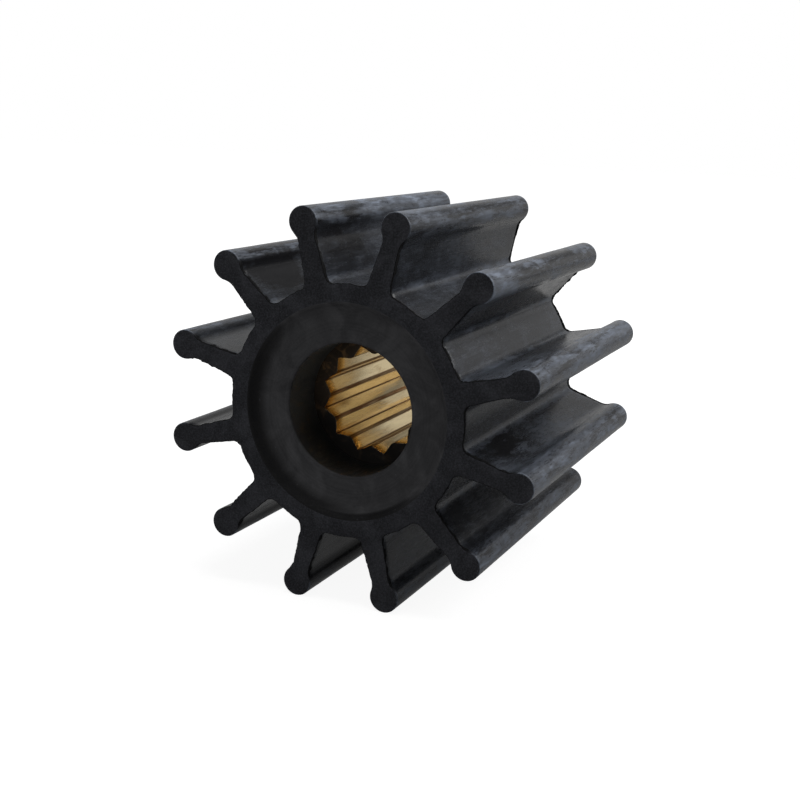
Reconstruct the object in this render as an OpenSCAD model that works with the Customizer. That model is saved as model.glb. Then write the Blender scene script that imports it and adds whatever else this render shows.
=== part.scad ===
// Flexible pump impeller: a moulded rubber wheel with twelve beaded blades, bonded
// round a splined brass bush. Millimetres. The shaft line is the Y axis, the front
// face looks towards -Y, and the origin is the centre of the wheel. It rests on the
// beads of its two lowest blades.

/* [Wheel] */
// Diameter over the beads at the blade tips
tip_d = 57.15; // [54:0.05:64]
// Width of hub and blades, from face to face
body_w = 47.6; // [40:0.1:70]
// Diameter of the hub between the blades
hub_d = 35.3; // [33:0.1:39]

/* [Blades] */
// Number of blades
blade_n = 12; // [6:1:12]
// Thickness of a blade's web where it leaves the hub
root_t = 3.3; // [2.6:0.1:3.9]
// Thickness that the web tapers to at the centre of its bead
web_tip_t = 2.25; // [1.6:0.05:2.6]
// Diameter of the bead that seals against the pump's bore
bead_d = 4.25; // [3.8:0.05:5.2]
// Radius of the fillet between hub and web
root_fillet_r = 1.3; // [0.6:0.1:1.8]
// Radius of the hollow between web and bead
neck_fillet_r = 2.5; // [1:0.1:3.2]

/* [Hub ends] */
// Diameter of the dished recess in each end of the hub
recess_d = 30; // [27:0.1:31.6]
// Depth of the recess's floor below the face
recess_depth = 1.2; // [0.6:0.1:2]
// Radius of the curve between the floor and the rim of the recess
recess_curve_r = 2.5; // [2.1:0.1:3]
// Diameter inside which the floor falls towards the bore
mouth_d = 23.4; // [21.5:0.1:24]
// How far the floor falls between there and the bore
mouth_fall = 0.35; // [0.1:0.05:0.8]
// Diameter of the rubber bore at each end
bore_d = 18.75; // [17.5:0.05:19.5]
// Radius of the rounded edge of the bore
bore_edge_r = 0.4; // [0.2:0.05:0.6]

/* [Splined bush] */
// Length of the brass bush
bush_l = 29.3; // [22:0.1:34]
// Outer diameter of the bush
bush_d = 23; // [21.5:0.1:25]
// Chamfer round both ends of the bush
bush_chamfer = 0.5; // [0.2:0.1:1]
// Number of splines
spline_n = 12; // [8:1:16]
// Diameter of the bush's bore at the bottom of the splines, for a 5/8 inch shaft
spline_major_d = 15.875; // [15:0.025:17]
// Distance between the flats on opposite crests of the splines
spline_minor_d = 13.5; // [13:0.05:14.6]
// Width of the flat on each crest
spline_land = 0.5; // [0.2:0.05:0.9]
// Number of ring grooves that key the rubber to the bush
groove_n = 3; // [1:1:4]
// Width of each ring groove
groove_w = 2.4; // [1.5:0.1:3.5]
// Depth of each ring groove
groove_depth = 0.6; // [0.3:0.1:1]

/* [Hidden] */
$fn = 96;
// How far a cutting shape runs past the faces that it opens
over = 2;
// How far the circle of a fillet or of a rounded edge bites into what it joins
bite = 0.003;
// Half sizes
hub_r = hub_d/2;
bead_r = bead_d/2;
bore_r = bore_d/2;
recess_r = recess_d/2;
mouth_r = mouth_d/2;
bush_r = bush_d/2;
face_z = body_w/2;
// Distance of a bead's centre from the shaft line
bead_at = tip_d/2 - bead_r;
// Angle between neighbours
blade_pitch = 360/blade_n;
spline_pitch = 360/spline_n;
// The wheel stands on two blades, so the first is half a pitch from straight down
first_blade = -90 + blade_pitch/2;
// Loss of half thickness for each millimetre out along the web
web_slope = (root_t - web_tip_t)/2/(bead_at - hub_r);
// Unit vectors along a web's flank and square to it
flank_dir = [1, -web_slope]/norm([1, web_slope]);
flank_out = [web_slope, 1]/norm([1, web_slope]);
// Levels of the recess's floor and of the bore's edge
floor_z = face_z - recess_depth;
rim_z = floor_z - mouth_fall;
rubber_color = "#232428";
brass_color = "#c8a566";

// Half thickness of the web at a distance from the shaft line
function web_half(at) = root_t/2 - web_slope*(at - hub_r);

// Centre of a fillet that touches the web's flank and a circle on the blade's
// middle line. The side is 1 outside the circle and -1 on the way in to it.
function fillet_centre(r, circle_at, circle_r, side) =
    let (start = [hub_r, root_t/2] + r*flank_out - [circle_at, 0],
         along = start*flank_dir,
         reach = along*along - start*start + pow(circle_r + r, 2))
    [circle_at, 0] + start + (side*sqrt(reach) - along)*flank_dir;

// The rubber that a pair of such fillets adds, one on each flank of a blade along +X.
// Each hollow bites slightly into the flank, so that the outlines truly cross.
module fillet_pair(r, circle_at, circle_r, side) {
    centre = fillet_centre(r, circle_at, circle_r, side);
    other = [centre[0], -centre[1]];
    foot = centre - flank_out*centre[1]/flank_out[1];
    difference() {
        polygon([centre, [circle_at, 0], other, foot]);
        for (place = [centre, other]) translate(place) circle(r = r + bite);
    }
}

// Draws an outline out along the shaft, a little past both faces of the wheel
module bar() {
    linear_extrude(body_w + 2*over, center = true) children();
}

// One blade along +X: tapered web, round bead and the fillets at both ends
module blade() {
    web_start = hub_r/2;
    bar() polygon([
        [web_start, web_half(web_start)], [bead_at, web_tip_t/2],
        [bead_at, -web_tip_t/2], [web_start, -web_half(web_start)]
    ]);
    bar() translate([bead_at, 0]) circle(r = bead_r);
    bar() fillet_pair(root_fillet_r, 0, hub_r, 1);
    bar() fillet_pair(neck_fillet_r, bead_at, bead_r, -1);
}

// The wheel before anything is cut out of its hub, trimmed flush at both faces
module wheel() {
    intersection() {
        cylinder(d = tip_d + over, h = body_w, center = true);
        union() {
            bar() circle(r = hub_r);
            for (i = [0:blade_n - 1]) rotate(first_blade + i*blade_pitch) blade();
        }
    }
}

// What is open above the middle of one end, as a half section: the bore with its
// rounded edge, the falling mouth and the dished recess
module end_section() {
    curve_at = recess_r - sqrt(pow(recess_curve_r, 2) - pow(recess_curve_r - recess_depth, 2));
    square([bore_r, face_z]);
    polygon([[0, rim_z], [bore_r, rim_z], [mouth_r, floor_z], [0, floor_z]]);
    // The face cuts this circle below its centre, so the recess's rim is where it does
    translate([0, floor_z]) square([curve_at, 2*recess_curve_r]);
    translate([curve_at, floor_z + recess_curve_r]) circle(r = recess_curve_r);
    bore_edge();
}

// The sliver that rounds the edge where the falling mouth meets the bore
module bore_edge() {
    fall = atan2(mouth_fall, mouth_r - bore_r);
    tangent = bore_edge_r*tan((90 - fall)/2);
    centre = [bore_r + bore_edge_r, rim_z - tangent];
    open_side = [bore_r - bore_edge_r, rim_z + bore_edge_r];
    difference() {
        polygon([
            [bore_r, rim_z - tangent], centre,
            centre + bore_edge_r*[-sin(fall), cos(fall)], open_side
        ]);
        translate(centre) circle(r = bore_edge_r + bite);
    }
}

// Half section of the bush's outside: chamfered ends and ring grooves
module bush_section() {
    half = bush_l/2;
    groove_pitch = bush_l/(groove_n + 1);
    difference() {
        polygon([
            [0, -half], [bush_r - bush_chamfer, -half], [bush_r, -half + bush_chamfer],
            [bush_r, half - bush_chamfer], [bush_r - bush_chamfer, half], [0, half]
        ]);
        for (i = [1:groove_n])
            translate([bush_r - groove_depth, i*groove_pitch - half - groove_w/2])
                square([groove_depth + over, groove_w]);
    }
}

module bush_blank() {
    rotate_extrude() bush_section();
}

// A point turned about the shaft line
function turned(p, a) = [p[0]*cos(a) - p[1]*sin(a), p[0]*sin(a) + p[1]*cos(a)];

// Section of the splined bore: V grooves with straight flanks, one of them under each
// blade when the counts agree, and crests that are cut flat
module spline_outline() {
    valley = [spline_major_d/2, 0];
    crest_start = [spline_minor_d/2, -spline_land/2];
    crest_end = [spline_minor_d/2, spline_land/2];
    polygon([
        for (i = [0:spline_n - 1])
            let (a = first_blade + i*spline_pitch, b = a + spline_pitch/2)
            each [turned(valley, a), turned(crest_start, b), turned(crest_end, b)]
    ]);
}

// Turns what is drawn along +Z so that its top end looks towards -Y
module along_shaft() {
    rotate([90, 0, 0]) children();
}

module rubber_body() {
    color(rubber_color) along_shaft() difference() {
        wheel();
        bush_blank();
        for (flip = [0, 1]) mirror([0, 0, flip]) rotate_extrude() end_section();
    }
}

module spline_insert() {
    color(brass_color) along_shaft() difference() {
        bush_blank();
        linear_extrude(bush_l + 2*over, center = true) spline_outline();
    }
}

rubber_body();
spline_insert();
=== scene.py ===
# %% [markdown]
# # A flexible pump impeller
# A moulded rubber wheel with twelve beaded blades, bonded round a splined brass bush.
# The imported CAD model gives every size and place. This script gives the two pieces their
# looks: edges as a knife and a mould leave them, skin that isn't quite flat, and finishes
# made of shader nodes only. Lengths in the code are millimetres until they reach a mesh.

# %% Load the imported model
import math

import bmesh
import bpy
from mathutils import Matrix, Vector, noise


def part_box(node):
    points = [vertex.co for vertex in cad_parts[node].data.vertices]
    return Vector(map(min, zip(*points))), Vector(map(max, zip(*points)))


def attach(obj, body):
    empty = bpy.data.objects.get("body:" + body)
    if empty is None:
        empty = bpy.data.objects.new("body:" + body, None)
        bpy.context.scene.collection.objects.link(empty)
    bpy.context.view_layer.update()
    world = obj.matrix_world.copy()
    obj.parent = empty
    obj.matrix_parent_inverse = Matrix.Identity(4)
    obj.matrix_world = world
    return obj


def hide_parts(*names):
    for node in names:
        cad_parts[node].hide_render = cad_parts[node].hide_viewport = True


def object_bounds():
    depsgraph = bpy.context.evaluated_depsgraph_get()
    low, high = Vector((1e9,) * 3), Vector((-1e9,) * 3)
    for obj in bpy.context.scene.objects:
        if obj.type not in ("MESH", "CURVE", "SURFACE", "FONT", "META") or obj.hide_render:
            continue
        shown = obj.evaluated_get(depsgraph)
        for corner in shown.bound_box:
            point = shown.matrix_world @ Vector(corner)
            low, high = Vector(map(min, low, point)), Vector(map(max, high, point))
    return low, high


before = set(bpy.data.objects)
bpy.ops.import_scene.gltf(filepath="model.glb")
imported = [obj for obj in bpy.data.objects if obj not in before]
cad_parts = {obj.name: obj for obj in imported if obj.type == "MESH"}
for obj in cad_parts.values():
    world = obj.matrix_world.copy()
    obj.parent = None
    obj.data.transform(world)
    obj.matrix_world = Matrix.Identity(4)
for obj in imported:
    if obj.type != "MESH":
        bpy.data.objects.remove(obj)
cad_low, cad_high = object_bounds()
MM = 0.001
print("nodes:", sorted(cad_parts))
print("CAD box in mm:", [round((h - l)/MM, 2) for l, h in zip(cad_low, cad_high)])

# %% [markdown]
# ## Sizes
# The wheel's width and reach and the outside of the bush come from the frame, so they
# can't drift from the solids. What the frame doesn't state, such as the radius of a
# fillet, is repeated here by name. The shaft runs along Y, and the front looks towards -Y.

# %% Sizes of the wheel
BLADES = 12
PITCH = 2*math.pi/BLADES
FIRST_BLADE = -math.pi/2 + PITCH/2

FACE = cad_high.y/MM
BEAD_R = 4.25/2
# The two lowest beads stand on the floor, half a pitch either side of straight down
BEAD_AT = (-cad_low.z/MM - BEAD_R)/math.cos(PITCH/2)
HUB_R = 35.3/2
ROOT_HALF = 3.3/2
TIP_HALF = 2.25/2
ROOT_FILLET = 1.3
NECK_FILLET = 2.5
print("bead centres lie", round(BEAD_AT, 3), "mm from the shaft line")

# %% Sizes of the hub's ends and of the bush
RECESS_R = 15
RECESS_DEPTH = 1.2
RECESS_CURVE = 2.5
MOUTH_R = 23.4/2
MOUTH_FALL = 0.35
BORE_R = 18.75/2
BORE_EDGE = 0.4
bush_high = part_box("spline_insert")[1]
BUSH_END = bush_high.y/MM
BUSH_R = bush_high.x/MM
BUSH_CHAMFER = 0.5
GROOVES = 3
GROOVE_WIDTH = 2.4
GROOVE_DEPTH = 0.6
print("bush: radius", round(BUSH_R, 2), "and ends at", round(BUSH_END, 2), "mm")

# %% [markdown]
# ## The outline of a blade
# A blade has one section from end to end: bead, hollow neck, tapering web, root fillet
# and a share of the hub. It is one row of points, each with the direction that points out
# of the rubber. Rows of equal length can be skinned with clean quads, and along the
# outward direction an edge can be rounded, or pushed out into flash.

# %% Points along an arc
def arc(centre, radius, start, end, steps, outward):
    """Points on an arc, each with the direction out of the rubber. Outward is 1 where
    the arc bulges and -1 where it is hollow. The last point is left to what follows."""
    points = []
    for k in range(steps):
        a = start + (end - start)*k/steps
        way = Vector((math.cos(a), math.sin(a)))
        points.append((centre + radius*way, outward*way))
    return points


def angle_of(v):
    return math.atan2(v.y, v.x)


# %% Centres of the two fillets
SLOPE = (ROOT_HALF - TIP_HALF)/(BEAD_AT - HUB_R)
FLANK_OUT = Vector((SLOPE, 1)).normalized()
FLANK_DIR = Vector((1, -SLOPE)).normalized()
BEAD_CENTRE = Vector((BEAD_AT, 0))
HUB_CENTRE = Vector((0, 0))


def fillet_centre(radius, circle, circle_r, side):
    """The centre of a fillet that touches the web's flank and a circle. The side is 1
    outside the circle and -1 on the way in to it."""
    start = Vector((HUB_R, ROOT_HALF)) + radius*FLANK_OUT - circle
    along = start.dot(FLANK_DIR)
    reach = along**2 - start.dot(start) + (circle_r + radius)**2
    return circle + start + (side*math.sqrt(reach) - along)*FLANK_DIR


ROOT_CENTRE = fillet_centre(ROOT_FILLET, HUB_CENTRE, HUB_R, 1)
NECK_CENTRE = fillet_centre(NECK_FILLET, BEAD_CENTRE, BEAD_R, -1)
print("root fillet's centre", ROOT_CENTRE, "neck fillet's", NECK_CENTRE)

# %% Half of a blade's outline, from the bead's tip to the middle of the gap
BEAD_STEPS, NECK_STEPS, FLANK_STEPS, ROOT_STEPS, HUB_STEPS = 12, 8, 20, 7, 6


def flank():
    """The straight flank, between the ends of the two fillets."""
    start = NECK_CENTRE - NECK_FILLET*FLANK_OUT
    end = ROOT_CENTRE - ROOT_FILLET*FLANK_OUT
    return [(start.lerp(end, k/FLANK_STEPS), FLANK_OUT) for k in range(FLANK_STEPS)]


def half_outline():
    """Points and outward directions, with the blade lying along +x."""
    flank_foot = angle_of(-FLANK_OUT)
    neck_start = angle_of(BEAD_CENTRE - NECK_CENTRE)
    root_end = angle_of(-ROOT_CENTRE)
    return (
        arc(BEAD_CENTRE, BEAD_R, 0, angle_of(NECK_CENTRE - BEAD_CENTRE), BEAD_STEPS, 1)
        + arc(NECK_CENTRE, NECK_FILLET, neck_start, flank_foot, NECK_STEPS, -1)
        + flank()
        + arc(ROOT_CENTRE, ROOT_FILLET, flank_foot, root_end, ROOT_STEPS, -1)
        + arc(HUB_CENTRE, HUB_R, angle_of(ROOT_CENTRE), PITCH/2, HUB_STEPS, 1)
    )


HALF = half_outline()
BLADE_STEPS = len(HALF) - HUB_STEPS
print(len(HALF), "points on half an outline,", BLADE_STEPS, "of them above the hub")

# %% [markdown]
# ## From outline to mesh
# Both pieces are skinned from rows of points, so one small helper serves them. It numbers
# the points, joins neighbouring rows with quads and keeps each face's finish.

# %% A helper that collects points and faces
def new_object(name, data):
    thing = bpy.data.objects.new(name, data)
    bpy.context.scene.collection.objects.link(thing)
    return thing


class Shell:
    """Points and faces of one closed piece, before they become a mesh."""

    def __init__(self):
        self.points, self.faces, self.finishes = [], [], []

    def row(self, points):
        """Adds points, in millimetres, and returns their numbers."""
        first = len(self.points)
        self.points += [Vector(p) for p in points]
        return list(range(first, len(self.points)))

    def face(self, corners, finish):
        self.faces.append(corners)
        self.finishes.append(finish)

    def strip(self, row, other, finish, closed=True):
        """Joins two rows of equal length with quads."""
        n = len(row)
        for k in range(n if closed else n - 1):
            after = (k + 1) % n
            self.face((row[k], row[after], other[after], other[k]), finish)

    def loft(self, rows, finish):
        for row, other in zip(rows, rows[1:]):
            self.strip(row, other, finish)

    def build(self, name, materials, sharp_from):
        """Makes the object, with one material slot for each finish."""
        mesh = bpy.data.meshes.new(name)
        mesh.from_pydata([p*MM for p in self.points], [], self.faces)
        order = list(materials)
        for finish in order:
            mesh.materials.append(materials[finish])
        mesh.polygons.foreach_set("material_index", [order.index(f) for f in self.finishes])
        turn_outward(mesh)
        mesh.shade_smooth()
        mesh.set_sharp_from_angle(angle=math.radians(sharp_from))
        piece = new_object(name, mesh)
        print(name, "has", len(mesh.polygons), "faces and", len(mesh.vertices), "points")
        return piece


def turn_outward(mesh):
    """Makes every face look out of the closed piece."""
    shape = bmesh.new()
    shape.from_mesh(mesh)
    bmesh.ops.recalc_face_normals(shape, faces=shape.faces)
    shape.to_mesh(mesh)
    shape.free()


# %% The outline of the whole wheel
def turned(v, angle):
    return Vector((v.x*math.cos(angle) - v.y*math.sin(angle),
                   v.x*math.sin(angle) + v.y*math.cos(angle)))


def wheel_outline():
    """Every point of the outline, in order round the shaft. Each sector starts in the
    middle of a gap, climbs one side of its blade and comes down the other."""
    middle = turned(Vector((HUB_R, 0)), -PITCH/2)
    mirrored = [(Vector((p.x, -p.y)), Vector((o.x, -o.y))) for p, o in reversed(HALF[1:])]
    sector = [(middle, middle.normalized())] + mirrored + HALF
    angles = [FIRST_BLADE + b*PITCH for b in range(BLADES)]
    return [(turned(p, a), turned(o, a)) for a in angles for p, o in sector]


OUTLINE = wheel_outline()
SECTOR = len(OUTLINE)//BLADES
TIP = len(HALF)
print(len(OUTLINE), "points round the wheel, with the tip at", TIP, "in each sector")

# %% [markdown]
# ## Skin that is nearly flat
# Real rubber comes out of its mould a little wavy, and where the mould's halves met it
# leaves flash: a thin, ragged lip along the edges of hub and blades, in front and behind,
# with a narrow hollow beside it that holds a dark line. The lip is geometry, not bump,
# because its outline can be seen. It leaves the beads alone, so the wheel keeps its size.

# %% How far a point of the skin stands off the outline
WAVE = 0.035
WAVE_LENGTH = 5
# Along the shaft a way counts only this much, so the waves are longer
WAVE_SQUEEZE = 0.35
FLASH = 0.23
FLASH_LENGTH = 0.8
# The lip's mean height and its broad and fine changes, as shares of that
LIP_MEAN, LIP_BROAD, LIP_FINE = 0.4, 0.55, 0.4
HOLLOW = 0.13
EDGE_ROUND = 0.1
# Depths below the face, in mm, where the lip ends and where the hollow starts and ends
LIP_ENDS = (0.32, 0.08)
HOLLOW_STARTS, HOLLOW_ENDS = (0.12, 0.34), (0.95, 0.5)
# Radii between which lip and hollow begin below a bead
LIP_RADII = (BEAD_AT - 0.3, BEAD_AT - BEAD_R - 0.2)
# The skin is calm at the faces and at the tips, and wavy this far from them
CALM_FACE, CALM_TIP = 1.5, 0.4
# Sets the front's noise apart from the rear's
FLASH_SHIFT = 9


def fade(value, start, end):
    """0 at the start and 1 at the end, with a soft course between."""
    t = min(max((value - start)/(end - start), 0), 1)
    return t*t*(3 - 2*t)


def rounding(depth, radius):
    """How far an edge of that radius has drawn in, at a depth below its face."""
    left = max(radius - depth, 0)
    return radius - math.sqrt(radius**2 - left**2)


def noises(spot, finer, share):
    """Noise on both sides of 0, with a share of finer noise on it."""
    return noise.noise(spot) + share*noise.noise(finer*spot)


def flash(point, end):
    """The height of the lip, and the share of the hollow, at a point of the outline. The
    end is -1 in front and 1 behind."""
    spot = Vector((point.x, FLASH_SHIFT*end, point.y))/FLASH_LENGTH
    ragged = LIP_MEAN + LIP_BROAD*noise.noise(spot) + LIP_FINE*noise.noise(3.1*spot)
    patchy = fade(noise.noise(spot*0.2), -0.4, 0.2)
    below_bead = fade(point.length, *LIP_RADII)
    return FLASH*max(ragged, 0)*patchy*below_bead, below_bead*(0.4 + 0.6*patchy)


def edge(point, depth, end):
    """How far the skin stands off near one end: lip, hollow, and the edge's own round."""
    height, share = flash(point, end)
    lip = height*fade(depth, *LIP_ENDS)
    hollow = share*HOLLOW*fade(depth, *HOLLOW_STARTS)*fade(depth, *HOLLOW_ENDS)
    return lip - hollow - rounding(depth, EDGE_ROUND)


def wave(point, y):
    spot = Vector((point.x, y*WAVE_SQUEEZE, point.y))/WAVE_LENGTH
    return WAVE*noises(spot, finer=2.3, share=0.5)


def stand_off(point, y):
    depth = FACE - abs(y)
    wavy = fade(depth, 0, CALM_FACE)*fade(BEAD_AT + BEAD_R - point.length, 0, CALM_TIP)
    return wave(point, y)*wavy + edge(point, depth, math.copysign(1, y))


# %% The moulded skin, ring by ring
EDGE_DEPTHS = [0, 0.03, 0.1, 0.2, 0.34, 0.55, 0.9, 1.4]
SKIN_RINGS = 28


def ring_levels():
    """Where the rings lie: close together at the edges, evenly spread between."""
    first, last = -FACE + EDGE_DEPTHS[-1], FACE - EDGE_DEPTHS[-1]
    step = (last - first)/(SKIN_RINGS + 1)
    middle = [first + k*step for k in range(1, SKIN_RINGS + 1)]
    return [d - FACE for d in EDGE_DEPTHS] + middle + [FACE - d for d in reversed(EDGE_DEPTHS)]


rubber = Shell()
skin = []
for y in ring_levels():
    ring = [p + o*stand_off(p, y) for p, o in OUTLINE]
    skin.append(rubber.row([(q.x, y, q.y) for q in ring]))
rubber.loft(skin, "moulded")
print(len(skin), "rings of skin")

# %% [markdown]
# ## The end faces
# Each blade's end is a ladder of quads from its tip to its foot, and the hub's face is a
# band between those feet and the rim of the recess. Both share the skin's points, so the
# piece stays closed. The faces sink by a few hundredths of a millimetre here and there,
# as cut rubber does, which breaks up the light on them.

# %% Ladders across the blades
RUNGS_ACROSS = 6
FACE_SINK = 0.05
SINK_FINENESS, SINK_SHIFT = 0.6, 10


def sunk(x, z, end):
    """A point of an end face, slightly below it. The end is -1 in front, 1 behind."""
    spot = Vector((x, SINK_SHIFT*end, z))*SINK_FINENESS
    sink = FACE_SINK*fade(noises(spot, finer=3.7, share=0.4), -0.5, 0.8)
    return (x, end*(FACE - sink), z)


def rung(left, right, end):
    """The points of a rung between two points of the skin, both ends included."""
    a, b = rubber.points[left], rubber.points[right]
    inner = [a.lerp(b, k/RUNGS_ACROSS) for k in range(1, RUNGS_ACROSS)]
    return [left] + rubber.row([sunk(p.x, p.z, end) for p in inner]) + [right]


def ladder(ring, blade, end):
    """Closes the end of one blade and returns the rung at its foot."""
    tip = ring[blade*SECTOR + TIP]
    rungs = [rung(tip - k, tip + k, end) for k in range(1, BLADE_STEPS + 1)]
    for a, b in zip(rungs[0], rungs[0][1:]):
        rubber.face((tip, a, b), "cut")
    for row, other in zip(rungs, rungs[1:]):
        rubber.strip(row, other, "cut", closed=False)
    return rungs[-1]


# %% The hub's faces, as far as the rim of the recess
HUB_BANDS = (0.3, 0.65)


def hub_edge(ring, end):
    """The row of points round the hub's face: hub arcs and the feet of the blades."""
    row = []
    for blade in range(BLADES):
        sector = ring[blade*SECTOR:(blade + 1)*SECTOR]
        foot = ladder(ring, blade, end)
        row += sector[:TIP - BLADE_STEPS] + foot + sector[TIP + BLADE_STEPS + 1:]
    return row


def hub_face(ring, end):
    """Closes the face down to the recess. Returns the last row and its directions."""
    row = hub_edge(ring, end)
    places = [Vector((rubber.points[k].x, rubber.points[k].z)) for k in row]
    ways = [p.normalized() for p in places]
    for share in HUB_BANDS:
        inner = [p.lerp(w*RECESS_R, share) for p, w in zip(places, ways)]
        after = rubber.row([sunk(p.x, p.y, end) for p in inner])
        rubber.strip(row, after, "cut")
        row = after
    return row, ways


front_row, front_ways = hub_face(skin[0], -1)
rear_row, rear_ways = hub_face(skin[-1], 1)
print(len(front_row), "points round each hub face")

# %% [markdown]
# ## The recess and the bore
# These are turned shapes, so a profile of radius and depth is enough. Spinning it with
# the hub face's own directions makes the two join point to point. Behind the bore the
# profile follows the bush, chamfers and key grooves included, so the rubber is a true
# closed shell.

# %% The profile of one end, from the rim to the bush
RIM_ROUND = 0.12
# Three points round off the rim: how far out and how deep, as shares of its round
RIM_POINTS = ((2, 0), (0.7, 1/6), (-0.1, 1))
# Two points ease the floor into the mouth: how far out from its rim and how deep, in mm
MOUTH_POINTS = ((0.3, 0.01), (-0.3, 0.05))
CURVE_AT = RECESS_R - math.sqrt(RECESS_CURVE**2 - (RECESS_CURVE - RECESS_DEPTH)**2)
CURVE_STEPS, EDGE_STEPS, WALL_STEPS = 9, 4, 5


def dish_profile():
    """Radius and depth down the curved wall and over the floor to the mouth."""
    rim_angle = math.acos((RECESS_CURVE - RECESS_DEPTH)/RECESS_CURVE)
    angles = [rim_angle*(1 - k/CURVE_STEPS) for k in range(CURVE_STEPS + 1)]
    wall = [(CURVE_AT + RECESS_CURVE*math.sin(a),
             RECESS_DEPTH - RECESS_CURVE*(1 - math.cos(a))) for a in angles]
    rim = [(RECESS_R + out*RIM_ROUND, deep*RIM_ROUND) for out, deep in RIM_POINTS]
    return rim + wall[1:]


def mouth_profile():
    """The falling mouth and the rounded edge of the bore."""
    fall = math.atan2(MOUTH_FALL, MOUTH_R - BORE_R)
    tangent = BORE_EDGE*math.tan((math.pi/2 - fall)/2)
    centre_depth = RECESS_DEPTH + MOUTH_FALL + tangent
    turn = [fall + (math.pi/2 - fall)*k/EDGE_STEPS for k in range(EDGE_STEPS + 1)]
    bend = [(BORE_R + BORE_EDGE*(1 - math.sin(a)), centre_depth - BORE_EDGE*math.cos(a))
            for a in turn]
    return [(MOUTH_R + out, RECESS_DEPTH + deep) for out, deep in MOUTH_POINTS] + bend


def bore_profile():
    """The wall of the bore, and the shoulder against the end of the bush."""
    top, end = RECESS_DEPTH + MOUTH_FALL + BORE_EDGE, FACE - BUSH_END
    wall = [(BORE_R, top + (end - top)*k/WALL_STEPS) for k in range(1, WALL_STEPS + 1)]
    return wall + [(BUSH_R - BUSH_CHAMFER, end)]


print("the dish's curve starts at radius", round(CURVE_AT, 2))

# %% Turn the profiles
DISH_WAVE = 0.03
DISH_FINENESS = 0.4
# Above this depth in mm the dish is true, and waves grow from there to its floor
DISH_CALM = 0.2


def turned_row(shell, ways, radius, y, waviness=0):
    """Adds a circle of points, one in each direction, with waves in their depth."""
    points = []
    for w in ways:
        spot = Vector((w.x*radius, y, w.y*radius))*DISH_FINENESS
        points.append((w.x*radius, y + waviness*noise.noise(spot), w.y*radius))
    return shell.row(points)


def turned_end(row, ways, end):
    """Spins one end's profile, and returns the last row, at the bush's chamfer."""
    for finish, profile, waviness in (
        ("recess", dish_profile(), DISH_WAVE), ("recess", mouth_profile(), DISH_WAVE),
        ("bore", bore_profile(), 0),
    ):
        for radius, depth in profile:
            grown = waviness*fade(depth, DISH_CALM, RECESS_DEPTH)
            after = turned_row(rubber, ways, radius, end*(FACE - depth), grown)
            rubber.strip(row, after, finish if depth > 0 else "cut")
            row = after
    return row


def bush_profile():
    """Radius and place along Y of the bush's outside, between its two end faces."""
    profile = [(BUSH_R, -BUSH_END + BUSH_CHAMFER)]
    for k in range(1, GROOVES + 1):
        middle = (2*k/(GROOVES + 1) - 1)*BUSH_END
        near, far = middle - GROOVE_WIDTH/2, middle + GROOVE_WIDTH/2
        floor = BUSH_R - GROOVE_DEPTH
        profile += [(BUSH_R, near), (floor, near), (floor, far), (BUSH_R, far)]
    return profile + [(BUSH_R, BUSH_END - BUSH_CHAMFER)]


row = turned_end(front_row, front_ways, -1)
for radius, y in bush_profile():
    after = turned_row(rubber, front_ways, radius, y)
    rubber.strip(row, after, "bore")
    row = after
rubber.strip(row, turned_end(rear_row, rear_ways, 1), "bore")
print(len(rubber.faces), "faces in the rubber so far")

# %% [markdown]
# ## The splined bore
# A broach cuts the twelve V grooves in one pull, so each flank carries faint steps that
# run dead straight from end to end. Between the grooves a narrow flat of the drilled hole
# is left on each crest, darker than the flanks. Corners are a little round, since no
# broach is razor sharp, and a groove lies under each blade.

# %% The outline of the spline
SPLINES = 12
VALLEY_R = 15.875/2
CREST_R = 13.5/2
LAND = 0.5
CORNER_CUT = 0.07
CORNER_STEPS = 4
FLANK_SPLITS = 8
TOOL_STEP = 0.022
# How far the noise moves on from flank to flank and from mark to mark
FLANK_SHIFT, MARK_SHIFT = 1.7, 1.3


def soft_corner(before, corner, after):
    """A corner softened by a small quadratic curve."""
    start = corner + (before - corner).normalized()*CORNER_CUT
    end = corner + (after - corner).normalized()*CORNER_CUT
    return [start.lerp(corner, t).lerp(corner.lerp(end, t), t)
            for t in (k/(CORNER_STEPS - 1) for k in range(CORNER_STEPS))]


def spline_outline():
    """Points of the bore, with the marks that the broach left on its flanks."""
    turn = 2*math.pi/SPLINES
    corners = []
    for k in range(SPLINES):
        groove = FIRST_BLADE + k*turn
        crest = groove + turn/2
        corners += [turned(Vector((VALLEY_R, 0)), groove),
                    turned(Vector((CREST_R, -LAND/2)), crest),
                    turned(Vector((CREST_R, LAND/2)), crest)]
    points = []
    for k, corner in enumerate(corners):
        before, after = corners[k - 1], corners[(k + 1) % len(corners)]
        points += soft_corner(before, corner, after)
        if (after - corner).length > 2*LAND:
            points += tool_marks(corner, after, k)
    return points


def tool_marks(corner, after, seed):
    """The points of one flank, each a little in front of it or behind it."""
    way = (after - corner).normalized()
    square_to_it = Vector((way.y, -way.x))
    start, end = corner + way*CORNER_CUT, after - way*CORNER_CUT
    steps = [TOOL_STEP*noise.noise(Vector((seed*FLANK_SHIFT, s*MARK_SHIFT, 0.5)))
             for s in range(1, FLANK_SPLITS + 1)]
    return [start.lerp(end, s/(FLANK_SPLITS + 1)) + square_to_it*step
            for s, step in enumerate(steps, 1)]


SPLINE = spline_outline()
print(len(SPLINE), "points round the bore of the bush")

# %% [markdown]
# ## The bush
# Between the two ends the bore is a plain loft. Where the splines meet the end face a
# small break takes off the burr, made by two short rings that widen the outline. The
# outside, with its key grooves, is hidden in the rubber but is modelled all the same.

# %% Loft the bush
END_BREAK = 0.02
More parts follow.
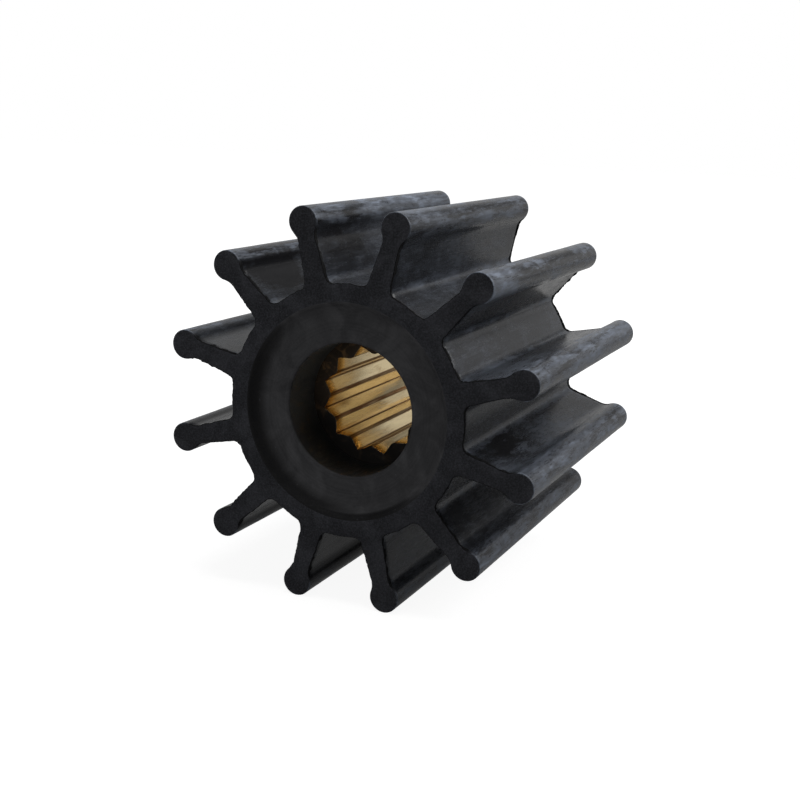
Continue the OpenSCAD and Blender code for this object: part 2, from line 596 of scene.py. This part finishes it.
# Depth below the end and widening, as shares of the break
BREAK_RINGS = ((0, 1), (0.3, 0.45), (1, 0))
BUSH_RINGS = 12
bush = Shell()
spline_ways = [p.normalized() for p in SPLINE]


def bore_ring(y, widening):
    ring = [p + w*widening for p, w in zip(SPLINE, spline_ways)]
    return bush.row([(q.x, y, q.y) for q in ring])


def bore_rings():
    """Levels and widening from the front end to the rear end."""
    front = [(-BUSH_END + d*END_BREAK, w*END_BREAK) for d, w in BREAK_RINGS]
    rear = [(-y, w) for y, w in reversed(front)]
    reach = BUSH_END - END_BREAK
    middle = [(reach*(2*k/BUSH_RINGS - 1), 0) for k in range(1, BUSH_RINGS)]
    return front + middle + rear


inside = [bore_ring(y, w) for y, w in bore_rings()]
bush.loft(inside, "splines")
rims = [(BUSH_R - BUSH_CHAMFER, y) for y in (-BUSH_END, BUSH_END)]
outside = [turned_row(bush, spline_ways, r, y) for r, y in rims[:1] + bush_profile() + rims[1:]]
bush.loft(outside, "turned")
bush.strip(inside[0], outside[0], "turned")
bush.strip(inside[-1], outside[-1], "turned")
print(len(bush.faces), "faces in the bush")

# %% [markdown]
# ## Node helpers
# Every finish is a tree of shader nodes. Small helpers keep the code short: they add a
# node and fill its sockets, do sums with values, vectors and colours, and make a node
# group from a function that fills it.

# %% Helpers that add nodes
def feed(tree, node, key, value):
    """Links an input to a socket, or sets it to a number, a vector or a colour."""
    if isinstance(value, bpy.types.NodeSocket):
        tree.links.new(value, node.inputs[key])
    else:
        node.inputs[key].default_value = value


def feed_named(tree, node, inputs):
    """Feeds inputs by name. Names of two words have an underscore between."""
    for key, value in inputs.items():
        feed(tree, node, key.replace("_", " "), value)


def feed_in_order(tree, node, values):
    for k, value in enumerate(values):
        feed(tree, node, k, value)


def add(tree, kind, **inputs):
    node = tree.nodes.new("ShaderNode" + kind)
    feed_named(tree, node, inputs)
    return node


# %% Helpers for sums
MIX_INPUTS = (0, 6, 7)
MIX_COLOUR = 2


def maths(tree, operation, *values):
    node = add(tree, "Math")
    node.operation = operation
    feed_in_order(tree, node, values)
    return node.outputs[0]


def times(tree, a, b, plus=0.0):
    return maths(tree, "MULTIPLY_ADD", a, b, plus)


def vectors(tree, operation, *values):
    """A vector, or a plain value where the operation gives one."""
    node = add(tree, "VectorMath")
    node.operation = operation
    feed_in_order(tree, node, values)
    return node.outputs["Value" if operation in ("LENGTH", "DOT_PRODUCT") else "Vector"]


def between(tree, value, low, high):
    """0 where the value is at or below low, 1 at or above high, and soft between. Low
    may be the greater of the two, and then the mask falls."""
    node = add(tree, "MapRange")
    node.interpolation_type = "SMOOTHSTEP"
    feed_in_order(tree, node, (value, low, high, 0.0, 1.0))
    return node.outputs[0]


def band(tree, value, rise, fall):
    """1 between a rise and a fall, each of them given by its start and its end."""
    return times(tree, between(tree, value, *rise), between(tree, value, *fall))


def blend_colours(tree, factor, first, second):
    node = add(tree, "Mix")
    node.data_type = "RGBA"
    for k, value in zip(MIX_INPUTS, (factor, first, second)):
        feed(tree, node, k, value)
    return node.outputs[MIX_COLOUR]


def cloud(tree, place, scale, detail=2.0, roughness=0.5, distortion=0.0):
    """Noise between 0 and 1. The scale is how many of its bumps go to a millimetre."""
    return add(tree, "TexNoise", Vector=place, Scale=scale, Detail=detail,
               Roughness=roughness, Distortion=distortion).outputs[0]


# %% Helpers for node groups
def make_group(name, draw, **inputs):
    """A node group. Inputs that start as None are vectors, and the others are numbers.
    The function that draws it takes its tree and inputs and returns its outputs."""
    group = bpy.data.node_groups.new(name, "ShaderNodeTree")
    for label, start in inputs.items():
        kind = "NodeSocketVector" if start is None else "NodeSocketFloat"
        label = label.replace("_", " ")
        socket = group.interface.new_socket(label, in_out="INPUT", socket_type=kind)
        if start is not None:
            socket.default_value = start
    results = draw(group, group.nodes.new("NodeGroupInput").outputs)
    for label, result in results.items():
        kind = "NodeSocketVector" if result.type == "VECTOR" else "NodeSocketFloat"
        group.interface.new_socket(label, in_out="OUTPUT", socket_type=kind)
    feed_named(group, group.nodes.new("NodeGroupOutput"), results)
    print("made group:", name)
    return group


def use(tree, group, **inputs):
    node = add(tree, "Group")
    node.node_tree = group
    feed_named(tree, node, inputs)
    return node.outputs


def mask(tree, group, place, **inputs):
    """The mask that a group lays over a piece."""
    return use(tree, group, Place=place["Place"], **inputs)["Mask"]


print("node helpers are ready")

# %% [markdown]
# ## Where on the wheel?
# Most marks depend on the distance from the shaft line and on the depth below the nearer
# end face. This group turns a place on the piece into those two, in millimetres.

# %% Group: place on the wheel
def find_place(tree, given):
    coords = add(tree, "TexCoord").outputs["Object"]
    place = vectors(tree, "MULTIPLY", coords, (1/MM, 1/MM, 1/MM))
    across = vectors(tree, "MULTIPLY", place, (1.0, 0.0, 1.0))
    along = maths(tree, "ABSOLUTE", add(tree, "SeparateXYZ", Vector=place).outputs["Y"])
    return {"Place": place, "Radius": vectors(tree, "LENGTH", across),
            "From End": maths(tree, "SUBTRACT", FACE, along)}


PLACE = make_group("place on the wheel", find_place)

# %% [markdown]
# ## Streaks along the shaft
# Mould release runs along the blades, and a broach drags along the splines. Both leave
# streaks that are long one way and fine the other, so one group serves both: noise that
# is squeezed along Y. Two sizes are mixed, since a single noise looks like a stripe.

# %% Group: streaks
FINER, FINE_SHARE = 4.3, 0.3


def lay_streaks(tree, given):
    share = maths(tree, "DIVIDE", 1.0, given["Stretch"])
    squeeze = add(tree, "CombineXYZ", X=1.0, Y=share, Z=1.0).outputs[0]
    spot = vectors(tree, "MULTIPLY", given["Place"], squeeze)
    broad = cloud(tree, spot, given["Fineness"], detail=4.0, roughness=0.55, distortion=0.3)
    fine = cloud(tree, spot, times(tree, given["Fineness"], FINER))
    height = times(tree, fine, FINE_SHARE, times(tree, broad, 1 - FINE_SHARE))
    return {"Mask": between(tree, height, given["Low"], given["High"]), "Height": height}


STREAKS = make_group("streaks along the shaft", lay_streaks,
                     Place=None, Fineness=1.0, Stretch=8.0, Low=0.4, High=0.6)

# %% [markdown]
# ## Specks
# Cut rubber shows grains of filler, the recess has dust, and brass has tiny pits. A cell
# pattern gives each cell a number by chance, so a threshold on that picks a few of them.

# %% Group: specks
def lay_specks(tree, given):
    cells = add(tree, "TexVoronoi", Vector=given["Place"], Scale=given["Per Millimetre"])
    luck = add(tree, "SeparateColor", Color=cells.outputs["Color"]).outputs[0]
    chosen = maths(tree, "GREATER_THAN", luck, given["Rarity"])
    full_within = times(tree, given["Size"], 0.5)
    near = between(tree, cells.outputs["Distance"], given["Size"], full_within)
    return {"Mask": times(tree, chosen, near)}


SPECKS = make_group("specks", lay_specks,
                    Place=None, Per_Millimetre=3.0, Size=0.3, Rarity=0.8)

# %% [markdown]
# ## Patches
# Haze, dust and films of dirt come in soft patches some millimetres across. A little
# distortion gives them feathered rims.

# %% Group: patches
def lay_patches(tree, given):
    scale = maths(tree, "DIVIDE", 1.0, given["Size"])
    soft = cloud(tree, given["Place"], scale, detail=5.0, roughness=0.6,
                 distortion=given["Feather"])
    return {"Mask": between(tree, soft, given["Low"], given["High"])}


PATCHES = make_group("soft patches", lay_patches,
                     Place=None, Size=6.0, Low=0.45, High=0.65, Feather=0.6)

# %% [markdown]
# ## Grain
# Every rubber surface has a grain of its own, coarse or fine, as its topmost bump.

# %% Group: grain
def lay_grain(tree, given):
    return {"Mask": cloud(tree, given["Place"], given["Per Millimetre"], given["Detail"],
                          given["Roughness"])}


GRAIN = make_group("grain", lay_grain,
                   Place=None, Per_Millimetre=4.0, Detail=5.0, Roughness=0.7)

# %% [markdown]
# ## One side
# Painted shade darkens one side of the recess's wall and rim, the lower side of the bore and
# the lower side of the bush's ends. This group gives a mask for the side that a vector
# points to. The vectors are divided by the radius of the recess, so that low and high are
# shares of that radius.

# %% Group: one side of the hub
def pick_side(tree, given):
    facing = vectors(tree, "DOT_PRODUCT", given["Place"], given["Way"])
    return {"Mask": between(tree, facing, given["Low"], given["High"])}


SIDE = make_group("one side", pick_side, Place=None, Way=None, Low=0.0, High=1.0)
DOWN = Vector((0, 0, -1))/RECESS_R

# %% [markdown]
# ## A material's skeleton
# Each finish starts from one Principled shader. Values that are the same all over the
# surface are set on its own sockets. Colours, roughness and bumps that vary are linked.

# %% Start a material
def linear(code):
    """The linear colour, with alpha, of a colour written as #rrggbb."""
    parts = [int(code[k:k + 2], 16)/255 for k in (1, 3, 5)]
    return [p/12.92 if p <= 0.04045 else ((p + 0.055)/1.055)**2.4 for p in parts] + [1.0]


def new_material(name, **values):
    """A material, its tree, and its Principled shader with those values."""
    material = bpy.data.materials.new(name)
    material.use_nodes = True
    tree = material.node_tree
    shader = tree.nodes["Principled BSDF"]
    feed_named(tree, shader, values)
    return material, tree, shader


def make_finish(name, draw, **values):
    """A material for part of a piece. The function that draws it gives its colour, its
    roughness and its bumps, each with its height in mm, from the lowest to the top."""
    material, tree, shader = new_material(name, **values)
    colour, roughness, bumps = draw(tree, use(tree, PLACE))
    feed_named(tree, shader, dict(Base_Color=colour, Roughness=roughness))
    taker = shader
    for height, millimetres in reversed(bumps):
        node = add(tree, "Bump", Strength=1.0, Distance=millimetres*MM, Height=height)
        feed(tree, taker, "Normal", node.outputs[0])
        taker = node
    return material


# %% [markdown]
# ## Moulded rubber
# The skin that touched the mould is near black and half glossy. Over it lies bloom: a blue
# grey haze of wax that has come to the surface and was rubbed along the blades. It is
# strongest on the beads and along the root fillets: on the beads it is partly painted sheen
# where light catches them, and along the root fillets and the rims of the beads it is a
# painted highlight. On the necks below the beads it is lowered as painted shade. Some places
# have much more of it, and a few have less: each is a spot with a place on the wheel, a
# reach and an amount, which may be below zero. A few of the spots below zero are painted
# shade and a painted reflection. Painted shade lies in ragged dark lines in the hollows
# behind the flash.

# %% Group: a spot with a broken rim
# A spot and the cloud that breaks its rim are longer along the shaft by these
SPOT_SQUEEZE, CLOUD_SQUEEZE = (1.0, 0.45, 1.0), (1.0, 0.3, 1.0)
# How far the cloud moves the rim, and where the mask is 0 and 1, as shares of the reach
RIM_SHIFT, RIM_OUTER, RIM_INNER = 1.6, 1.95, 1.1


def lay_spot(tree, given):
    gap = vectors(tree, "SUBTRACT", given["Place"], given["Centre"])
    length = vectors(tree, "LENGTH", vectors(tree, "MULTIPLY", gap, SPOT_SQUEEZE))
    share = maths(tree, "DIVIDE", length, given["Reach"])
    drawn_out = vectors(tree, "MULTIPLY", given["Place"], CLOUD_SQUEEZE)
    soft = cloud(tree, drawn_out, 0.6, detail=4.0, roughness=0.6, distortion=0.4)
    broken = times(tree, soft, RIM_SHIFT, share)
    return {"Mask": between(tree, broken, RIM_OUTER, RIM_INNER)}


SPOT = make_group("spot", lay_spot, Place=None, Centre=None, Reach=5.0)

# %% Where the bloom and the painted light lie on the moulded rubber
# Angle round the shaft in degrees, radius and place along it in mm, reach in mm, amount.
# The spots below zero at 101 and 131 degrees are painted shade under the beads, the one at
# -11.3 degrees is a painted dark reflection of the blade above on a flank, and the one at
# 45 degrees has less bloom.
HAZE_AND_SHADE_SPOTS = (
    (15, 27, 12, 6, 0.15), (-12, 25.5, -17, 5, 0.25), (-12, 24.5, -1, 6, 0.25),
    (-11.3, 21.5, -12.5, 4, -0.3), (104, 27.5, -4, 8, 0.25), (104, 27.5, 14, 6, 0.3),
    (41, 26, -19, 5, 0.35), (77, 28, -16, 5, 0.25), (-20, 22, -9, 4, 0.3),
    (19, 22, -16, 6, 0.25), (10.5, 28, -4, 3.5, 0.3), (68, 22, -4, 7, 0.12),
    (45, 28, 7, 8, -0.2), (-70, 24.3, -8, 7, 0.2), (-40, 24, -5, 8, 0.08),
    (101, 24.8, -12, 5, -0.2), (131, 24.8, -15, 5, -0.2),
)
# The start and end of each rise and fall, in mm from the shaft line
ON_BEAD = (BEAD_AT - 1.2, BEAD_AT - 0.2)
AT_ROOT = (HUB_R + 0.1, HUB_R + 0.5), (HUB_R + 1.6, HUB_R + 0.8)
AT_NECK = (BEAD_AT - 4.6, BEAD_AT - 3.2), (BEAD_AT - 0.4, BEAD_AT - 1.2)
# The same below an end face, for the rims of the beads
AT_RIM = (0.45, 0.15)
# Haze all over; bloom and painted sheen on the beads; painted highlights along the root fillets
# and the beads' rims; painted shade on the necks below the beads
HAZE, BEAD_HAZE_AND_SHEEN, ROOT_PAINTED_HIGHLIGHT, NECK_PAINTED_SHADE, RIM_PAINTED_HIGHLIGHT = 0.35, 0.42, 0.6, -0.06, 0.3
# What a mask is multiplied by, and what is added, to make each pattern's strength
CONTRAST, CLOUDED, MOTTLED = (0.75, 0.45), (0.55, 0.45), (0.6, 0.58)
SMEAR_LEVEL = 0.57


def haze_and_shade_spots(tree, place):
    total = 0.0
    for angle, radius, along, reach, amount in HAZE_AND_SHADE_SPOTS:
        turn = math.radians(angle)
        centre = (radius*math.cos(turn), along, radius*math.sin(turn))
        spot = mask(tree, SPOT, place, Centre=centre, Reach=reach)
        total = times(tree, spot, amount, total)
    return total


def bloom_and_painted_light(tree, place):
    """Most lies on the beads and their rims, as bloom, painted sheen and painted highlights,
    and painted shade lowers it on the necks; all of it smeared and mottled.
    """
    smears = mask(tree, STREAKS, place, Fineness=0.8, Stretch=7.0, Low=0.35, High=0.67)
    mottle = mask(tree, STREAKS, place, Fineness=1.7, Stretch=5.0, Low=0.4, High=0.62)
    clouds = mask(tree, PATCHES, place, Size=7.0, Low=0.4, High=0.6, Feather=1.2)
    bead = between(tree, place["Radius"], *ON_BEAD)
    swing = maths(tree, "SUBTRACT", smears, 0.5)
    smeared = times(tree, swing, times(tree, bead, *CONTRAST), SMEAR_LEVEL)
    haze = times(tree, smeared, times(tree, clouds, *CLOUDED))
    root = band(tree, place["Radius"], *AT_ROOT)
    neck = band(tree, place["Radius"], *AT_NECK)
    rim = times(tree, between(tree, place["From End"], *AT_RIM), bead)
    zone = times(tree, bead, BEAD_HAZE_AND_SHEEN, times(tree, root, ROOT_PAINTED_HIGHLIGHT, HAZE))
    zone = times(tree, neck, NECK_PAINTED_SHADE, zone)
    total = times(tree, haze, zone, haze_and_shade_spots(tree, place))
    total = times(tree, rim, RIM_PAINTED_HIGHLIGHT, total)
    return times(tree, total, times(tree, mottle, *MOTTLED))


print(len(HAZE_AND_SHADE_SPOTS), "spots with more or less haze")

# %% Finish of the moulded rubber
RUBBER_BLACK = linear("#1f1f21")
BLOOM_AND_SHEEN_GREY = linear("#6f7682")
DUST_BROWN = linear("#4a4640")
SHADE_BLACK = linear("#0c0c0d")
# How much the noise shifts the painted edge shade, in mm, and where it is 0 and 1 after that
EDGE_SHADE_SHIFT, EDGE_SHADE_DEPTHS = -1.9, (-0.05, -0.4)
BELOW_BEAD = (BEAD_AT - 0.4, BEAD_AT - 1.6)


def painted_edge_shade(tree, place):
    """Painted shade: 1 in ragged lines behind the flash at both ends, and 0 elsewhere."""
    soft = cloud(tree, place["Place"], 0.9, detail=5.0, roughness=0.6)
    uneven = times(tree, soft, EDGE_SHADE_SHIFT, place["From End"])
    inside = between(tree, place["Radius"], *BELOW_BEAD)
    return times(tree, between(tree, uneven, *EDGE_SHADE_DEPTHS), inside)


def moulded_rubber(tree, place):
    bloom_and_light = bloom_and_painted_light(tree, place)
    painted_shade = painted_edge_shade(tree, place)
    dust = mask(tree, PATCHES, place, Size=3.0, Low=0.6, High=0.75, Feather=0.8)
    # The blue grey is bloom, with painted sheen and painted highlights in it and painted shade
    # taken out of it
    colour = blend_colours(tree, bloom_and_light, RUBBER_BLACK, BLOOM_AND_SHEEN_GREY)
    colour = blend_colours(tree, times(tree, dust, 0.12), colour, DUST_BROWN)
    # Painted shade: near black in ragged lines behind the flash
    colour = blend_colours(tree, painted_shade, colour, SHADE_BLACK)
    fine = use(tree, STREAKS, Place=place["Place"], Fineness=2.4, Stretch=7.0)
    rough = times(tree, fine["Mask"], 0.07, times(tree, bloom_and_light, 0.3, 0.18))
    rough = times(tree, painted_shade, 0.6, rough)
    grain = mask(tree, GRAIN, place, Detail=4.0)
    return colour, rough, [(fine["Height"], 0.012), (grain, 0.01)]


# %% [markdown]
# ## Cut rubber
# The end faces were trimmed flush, and cut rubber is matt: it hardly mirrors anything, so
# it stays near black beside the haze. Its grain is finer than a quarter of a millimetre
# and breaks the light up, with a few pale specks of filler.

# %% Finish of the cut faces
CUT_BLACK = linear("#1b1c20")
CUT_PALE = linear("#414248")
FILLER = linear("#5c5c62")


def cut_rubber(tree, place):
    patch = mask(tree, PATCHES, place, Size=4.0, Low=0.4, High=0.7)
    grain = mask(tree, GRAIN, place, Roughness=0.75)
    mottle = times(tree, patch, 0.4, times(tree, between(tree, grain, 0.42, 0.62), 0.6))
    colour = blend_colours(tree, mottle, CUT_BLACK, CUT_PALE)
    specks = mask(tree, SPECKS, place, Per_Millimetre=2.2, Size=0.2, Rarity=0.93)
    colour = blend_colours(tree, times(tree, specks, 0.6), colour, FILLER)
    return colour, times(tree, patch, -0.1, 0.85), [(grain, 0.16)]


# %% [markdown]
# ## The recess and the bore
# The dish was moulded against a turned plug, so it is smoother and greyer than the cut
# faces and carries faint rings. Its curved wall is painted black on the left, and a dark
# line is painted along its rim below: both are painted shade. The bore's wall goes on in the
# same rubber, painted darker at the bottom as shade, and hardly any light comes back out of
# it.

# %% Finish of the recess and the bore
DISH_GREY = linear("#353537")
DISH_PALE = linear("#525254")
BORE_BLACK = linear("#454646")
BORE_STREAK = linear("#565654")
# The sides of the recess painted dark as shade: the curved wall on the left and the rim below
SHADED_WALL_SIDE = Vector((-0.91, 0, -0.42))/RECESS_R
SHADED_RIM_SIDE = Vector((-0.5, 0, -0.87))/RECESS_R
ON_WALL = (CURVE_AT - 0.4, RECESS_R - 0.7)
BELOW_RIM = (RECESS_R - 0.9, RECESS_R - 0.4)


def recess_rubber(tree, place):
    by_radius = add(tree, "CombineXYZ", X=place["Radius"]).outputs[0]
    rings = cloud(tree, by_radius, 2.4, detail=3.0)
    clouds = mask(tree, PATCHES, place, Size=5.0, Low=0.35, High=0.7, Feather=1.0)
    pale = times(tree, between(tree, rings, 0.35, 0.65), 0.15, times(tree, clouds, 0.7))
    colour = blend_colours(tree, pale, DISH_GREY, DISH_PALE)
    # Painted shade: black on the curved wall at the left and along the rim below
    wall_shade = times(tree, between(tree, place["Radius"], *ON_WALL),
                   mask(tree, SIDE, place, Way=SHADED_WALL_SIDE, High=0.75))
    painted_shade = times(tree, between(tree, place["Radius"], *BELOW_RIM),
                 mask(tree, SIDE, place, Way=SHADED_RIM_SIDE, High=0.6))
    dark = times(tree, maths(tree, "MAXIMUM", wall_shade, painted_shade), 0.9)
    colour = blend_colours(tree, dark, colour, SHADE_BLACK)
    specks = mask(tree, SPECKS, place, Per_Millimetre=1.6, Size=0.22, Rarity=0.9)
    colour = blend_colours(tree, times(tree, specks, 0.25), colour, FILLER)
    grain = mask(tree, GRAIN, place)
    return colour, times(tree, clouds, 0.12, 0.42), [(rings, 0.02), (grain, 0.08)]


def bore_rubber(tree, place):
    drag = mask(tree, STREAKS, place, Fineness=1.6, Stretch=6.0)
    colour = blend_colours(tree, drag, BORE_BLACK, BORE_STREAK)
    # Painted shade: the lower side of the bore is darker
    below = mask(tree, SIDE, place, Way=DOWN, Low=-0.1, High=0.45)
    colour = blend_colours(tree, times(tree, below, 0.8), colour, SHADE_BLACK)
    grain = mask(tree, GRAIN, place, Per_Millimetre=2.5, Detail=4.0, Roughness=0.5)
    return colour, times(tree, drag, 0.2, 0.45), [(grain, 0.05)]


# %% [markdown]
# ## Brass
# The bush is free-cutting brass. Its broached flanks are smooth enough to mirror: where
# they show the far opening once they are cream, and where they show brass that shows brass
# the colour deepens to gold by itself. Near the ends the metal is painted a little more
# golden, as a painted reflection. A metal turns white at glancing angles, so its tint there
# is set slightly warm. Brown tarnish gathers on the crests and in the bottoms of the
# grooves, and there are a few pits. The turned end faces are painted dark brown as shade,
# in patches like a film of rubber, and painted black below as shade.

# %% Finish of the splines and of the turned ends
BRASS_PALE = linear("#f1deb4")
BRASS_GOLD_REFLECTION = linear("#f0d5a2")
BRASS_DULL = linear("#b89f78")
TARNISH = linear("#6a4018")
BRASS_EDGE = linear("#fcf3e3")
# The end faces' dark brown colours are painted shade, in patches like a film of rubber
SHADED_END_FILM = linear("#3e342a")
SHADED_END_METAL = linear("#7c6040")
# How far the painted golden reflection reaches in from the ends, and tarnish out of the
# grooves, in mm
GOLD_REFLECTION_REACH, GROOVE_REACH = 4.0, 0.2


def near_corner(tree, place, radius, reach):
    """1 at a radius, such as that of the crests, fading within reach."""
    gap = maths(tree, "ABSOLUTE", maths(tree, "SUBTRACT", place["Radius"], radius))
    return between(tree, maths(tree, "DIVIDE", gap, reach), 1.0, 0.0)


def near_ends(tree, place, reach):
    """1 at either end of the bush, fading unevenly within about that reach."""
    wander = cloud(tree, place["Place"], 0.6)
    uneven = times(tree, wander, reach/2, place["From End"])
    start = FACE - BUSH_END
    return between(tree, uneven, start + 1.25*reach, start + 0.25*reach)


def broached_brass(tree, place):
    lines = use(tree, STREAKS, Place=place["Place"], Fineness=4.0, Stretch=40.0,
                Low=0.42, High=0.6)
    dull = mask(tree, STREAKS, place, Fineness=1.1, Stretch=6.0, Low=0.5, High=0.72)
    # Painted reflection: the metal is more golden near the ends
    gold_reflection = near_ends(tree, place, GOLD_REFLECTION_REACH)
    metal = blend_colours(tree, gold_reflection, BRASS_PALE, BRASS_GOLD_REFLECTION)
    metal = blend_colours(tree, times(tree, dull, 0.6), metal, BRASS_DULL)
    groove = near_corner(tree, place, VALLEY_R, GROOVE_REACH)
    ragged = times(tree, lines["Height"], 0.12, 0.02)
    crest = near_corner(tree, place, CREST_R, ragged)
    worn = times(tree, crest, times(tree, lines["Mask"], -0.3, 1.0))
    pits = mask(tree, SPECKS, place, Per_Millimetre=1.5, Size=0.2, Rarity=0.92)
    pitted = maths(tree, "MAXIMUM", worn, times(tree, pits, 0.6))
    tarnish = maths(tree, "MAXIMUM", groove, pitted)
    rough = times(tree, tarnish, 0.3, times(tree, lines["Mask"], 0.07, 0.14))
    return blend_colours(tree, tarnish, metal, TARNISH), rough, [(lines["Height"], 0.02)]


def turned_brass(tree, place):
    # Painted shade: dark brown in patches, and black on the lower side
    film = mask(tree, PATCHES, place, Size=1.5, Low=0.5, High=0.75)
    colour = blend_colours(tree, film, SHADED_END_FILM, SHADED_END_METAL)
    below = mask(tree, SIDE, place, Way=DOWN, Low=-0.2, High=0.3)
    colour = blend_colours(tree, times(tree, below, 0.9), colour, SHADE_BLACK)
    return colour, times(tree, film, -0.15, 0.65), []


# %% [markdown]
# ## Dress the pieces
# Each shell becomes one object with a slot for each finish. It rides on the part's only
# body and stands for its CAD node, which is hidden.

# %% Build both pieces
rubber_finishes = {
    "moulded": make_finish("moulded rubber", moulded_rubber, Specular_IOR_Level=0.13),
    "cut": make_finish("cut rubber", cut_rubber, Specular_IOR_Level=0.3),
    "recess": make_finish("recess rubber", recess_rubber, Specular_IOR_Level=0.12),
    "bore": make_finish("bore rubber", bore_rubber, Specular_IOR_Level=0.3),
}
brass_finishes = {
    "splines": make_finish("broached brass", broached_brass, Metallic=1.0,
                           Specular_Tint=BRASS_EDGE),
    "turned": make_finish("turned brass", turned_brass, Specular_IOR_Level=0.1),
}
wheel = rubber.build("moulded_wheel", rubber_finishes, sharp_from=40)
insert = bush.build("broached_bush", brass_finishes, sharp_from=40)
for piece, node, slot in ((wheel, "rubber_body", "rubber"), (insert, "spline_insert", "brass")):
    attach(piece, "root")
    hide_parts(node)

# %% [markdown]
# ## Floor and background
# The photograph is plain white all round. The floor is grey, so that it throws little
# light up between the blades, and it glows to the camera so that it looks white. The glow
# is a little less near the wheel, where the floor catches the shadow under the beads, and
# full further away, where it has to meet the background without a line.

# %% Floor
WHITE = (1.0, 1.0, 1.0, 1.0)
FLOOR_HALF = 1.5
FLOOR_GREY = (0.2, 0.2, 0.2, 1.0)
FLOOR_GLOW, FLOOR_MIRRORED = 0.92, 0.22
NEAR_FLOOR, FAR_FLOOR = 0.06, 0.25


def camera_and_mirrors(tree):
    """1 for what the camera sees itself, and 1 for what it sees in metal or glass."""
    ray = add(tree, "LightPath").outputs
    mirrors = maths(tree, "MAXIMUM", ray["Is Glossy Ray"], ray["Is Transmission Ray"])
    return ray["Is Camera Ray"], mirrors


def make_floor():
    mesh = bpy.data.meshes.new("floor")
    h, z = FLOOR_HALF, cad_low.z
    mesh.from_pydata([(-h, -h, z), (h, -h, z), (h, h, z), (-h, h, z)], [], [(0, 1, 2, 3)])
    floor = new_object("floor", mesh)
    material, tree, shader = new_material(
        "white floor", Base_Color=FLOOR_GREY, Roughness=0.9, Specular_IOR_Level=0.0,
        Emission_Color=WHITE)
    camera, mirrors = camera_and_mirrors(tree)
    distance = vectors(tree, "LENGTH", add(tree, "TexCoord").outputs["Object"])
    away = between(tree, distance, NEAR_FLOOR, FAR_FLOOR)
    seen = times(tree, camera, times(tree, away, 1 - FLOOR_GLOW, FLOOR_GLOW))
    mirrored = times(tree, mirrors, FLOOR_MIRRORED)
    feed(tree, shader, "Emission Strength", maths(tree, "MAXIMUM", seen, mirrored))
    mesh.materials.append(material)


make_floor()
print("floor at", round(cad_low.z/MM, 2), "mm")

# %% [markdown]
# ## Light
# The object was lit from above and from behind on the right, with little from the camera's
# side, inside white surroundings. The strengths were found by rendering the wheel with one
# lamp at a time and adding the pictures up until the shading came closest. The world is
# white to the camera and weak as plain light. Mirrors see it dimmer, most of all on the
# camera's side, and they see one dark gap behind the wheel, which the upper beads show.

# %% World
MIRRORED, MIRRORED_FRONT, AMBIENT = 0.57, 0.2, 0.17
# Where along Y, as a share of a ray's way, the front ends and the rear begins
FRONT_ENDS, REAR_BEGINS = -0.3, 0.6
GAP_WAY = Vector((0.108, 0.899, 0.425)).normalized()
# The cosine of the angle from there to the gap's rim and to its dark middle
GAP_RIM, GAP_MIDDLE = 0.962, 0.992
GAP_LEFT = 0.35


def make_world():
    world = bpy.data.worlds.new("white surroundings")
    world.use_nodes = True
    tree = world.node_tree
    camera, mirrors = camera_and_mirrors(tree)
    way = add(tree, "TexCoord").outputs["Generated"]
    along = add(tree, "SeparateXYZ", Vector=way).outputs["Y"]
    behind = between(tree, along, FRONT_ENDS, REAR_BEGINS)
    mirrored = times(tree, behind, MIRRORED - MIRRORED_FRONT, MIRRORED_FRONT)
    facing = vectors(tree, "DOT_PRODUCT", way, GAP_WAY)
    gap = between(tree, facing, GAP_RIM, GAP_MIDDLE)
    mirrored = times(tree, mirrored, times(tree, gap, GAP_LEFT - 1, 1.0))
    ambient = times(tree, maths(tree, "SUBTRACT", 1.0, mirrors), AMBIENT)
    level = maths(tree, "MAXIMUM", times(tree, mirrors, mirrored, ambient), camera)
    background = tree.nodes["Background"]
    feed_named(tree, background, dict(Color=WHITE, Strength=level))
    bpy.context.scene.world = world


make_world()
print("the world is", MIRRORED, "in mirrors and", AMBIENT, "as light")

# %% Lamps
LAMP_DISTANCE, LAMP_SIZE = 0.5, 0.3
LAMPS = {
    "overhead": dict(way=(0, 0.05, 1), watts=1.9),
    "behind_right": dict(way=(0.6, 0.5, 0.62), watts=1.5),
    "front": dict(way=(-0.2, -1, 0.25), watts=0.3),
}
for name, lamp in LAMPS.items():
    data = bpy.data.lights.new(name, "AREA")
    data.energy, data.size = lamp["watts"], LAMP_SIZE
    light = new_object(name, data)
    light.location = Vector(lamp["way"]).normalized()*LAMP_DISTANCE
    # A lamp shines along its -Z, here towards the wheel's middle
    light.rotation_euler = (-light.location).to_track_quat("-Z", "Y").to_euler()
print("lamps:", ", ".join(LAMPS))

# %% [markdown]
# ## Camera
# The photograph was fitted with a perspective camera: twelve beads at both ends and the
# circles of the hub fix its place, its heading and its lens. It looks slightly down from
# the front right, rolled by two degrees.

# %% Camera
CAMERA_PLACE = (75.4, -175.67, 40.47)
HEADING, TILT, ROLL = 23.829, 12.766, 1.963
FOCAL_PIXELS, PICTURE_PIXELS, SENSOR = 1277, 800, 36


def make_camera():
    data = bpy.data.cameras.new("camera")
    data.sensor_width = SENSOR
    data.lens = SENSOR*FOCAL_PIXELS/PICTURE_PIXELS
    data.clip_start, data.clip_end = 0.01, 10
    camera = new_object("camera", data)
    pose = Matrix.Translation(Vector(CAMERA_PLACE)*MM)
    for degrees, axis in ((HEADING, "Z"), (90 - TILT, "X"), (ROLL, "Z")):
        pose = pose @ Matrix.Rotation(math.radians(degrees), 4, axis)
    camera.matrix_world = pose
    bpy.context.scene.camera = camera


make_camera()
bpy.context.scene.view_settings.view_transform = "Standard"
print("lens:", round(SENSOR*FOCAL_PIXELS/PICTURE_PIXELS, 2), "mm")

# %% Finish
bpy.context.view_layer.update()
